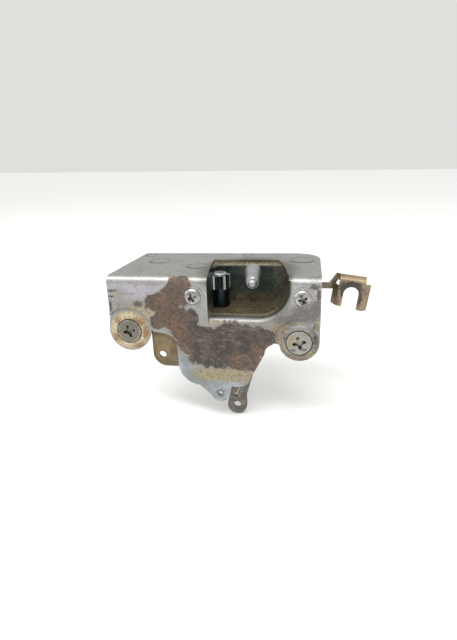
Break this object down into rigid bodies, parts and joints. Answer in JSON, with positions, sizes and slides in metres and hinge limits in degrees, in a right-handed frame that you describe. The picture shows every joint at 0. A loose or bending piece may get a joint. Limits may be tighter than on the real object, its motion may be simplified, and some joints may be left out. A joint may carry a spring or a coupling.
{
  "type": "rotary car door lock",
  "caption": "Rotary door lock: pressed case plate with a striker pocket, toothed rotor with ratchet and pawl, two rod levers and a sliding lock fork.",
  "frame": {"origin": "on the front plate's outer face, midway between the two fixing screws along X and level with the left one", "axes": "X along the front plate towards the lock fork, +Y from the front plate into the door, +Z out of the shut face"},
  "size_m": [0.1334, 0.0572, 0.0768],
  "materials": {
    "case_steel": "satin zinc plate with brown rust and grime",
    "housing_casting": "dull grey die casting under dark green-black grease",
    "bright_steel": "rubbed bright steel",
    "rotor_steel": "worn steel with dark grease in the gaps",
    "bush_bronze": "dull bronze",
    "dark_steel": "dark brown, greasy",
    "rivet_steel": "dulled steel with brown stains",
    "spring_wire": "brass-coloured old spring wire",
    "tan_steel": "tan old chromate with rust",
    "chromate_steel": "yellow-bronze chromate, worn grey round the slot",
    "screw_steel": "worn plated steel with rust in the recess"
  },
  "bodies": {
    "case": {"case_plate": "case_steel", "striker_housing": "housing_casting", "guide_pin": "bright_steel", "rotor_bush": "bush_bronze", "bearing_plate": "case_steel", "plate_pillars": "bright_steel", "pawl_pivot": "bright_steel", "pawl_spring": "spring_wire", "release_pivot": "rivet_steel", "release_spring": "spring_wire", "spring_post": "rivet_steel", "remote_pivot": "rivet_steel", "spacer_washer": "dark_steel", "slide_studs": "rivet_steel", "housing_screws": "screw_steel", "fixing_screws": "screw_steel", "weld_nuts": "dark_steel", "top_rivets": "rivet_steel"},
    "rotor": {"star_wheel": "rotor_steel", "rotor_shaft": "bright_steel", "ratchet_wheel": "rotor_steel", "thrust_washer": "bush_bronze", "shaft_clip": "dark_steel"},
    "pawl_body": {"pawl": "rotor_steel"},
    "release": {"release_lever": "dark_steel"},
    "remote": {"remote_lever": "tan_steel"},
    "lock": {"lock_slide": "chromate_steel"}
  },
  "joints": [
    {"name": "rotor_turn", "type": "hinge", "parent": "case", "child": "rotor", "pos_m": [0.00135, 0.021, 0], "axis": [0, 0, 1], "continuous": true},
    {"name": "release_turn", "type": "hinge", "parent": "case", "child": "release", "pos_m": [0.01575, 0.0065, -0.0148], "axis": [0, -1, 0], "range_deg": [-15, 0], "stiffness_Nm_per_rad": 0.1, "springref_deg": 28.65, "deforming": ["release_spring"]},
    {"name": "pawl_lift", "type": "hinge", "parent": "case", "child": "pawl_body", "pos_m": [0.01971, 0.02121, 0.0015], "axis": [0, 0, 1], "range_deg": [0, 18], "deforming": ["pawl_spring"]},
    {"name": "remote_turn", "type": "hinge", "parent": "case", "child": "remote", "pos_m": [0.00255, 0.0039, -0.0165], "axis": [0, 1, 0], "range_deg": [0, 9]},
    {"name": "lock_slide_x", "type": "slide", "parent": "case", "child": "lock", "axis": [1, 0, 0], "range_m": [0, 0.005]}
  ],
  "couplings": [
    {"joint": "pawl_lift", "follows": "release_turn", "ratio": -1.2},
    {"joint": "remote_turn", "follows": "release_turn", "ratio": -0.6}
  ]
}
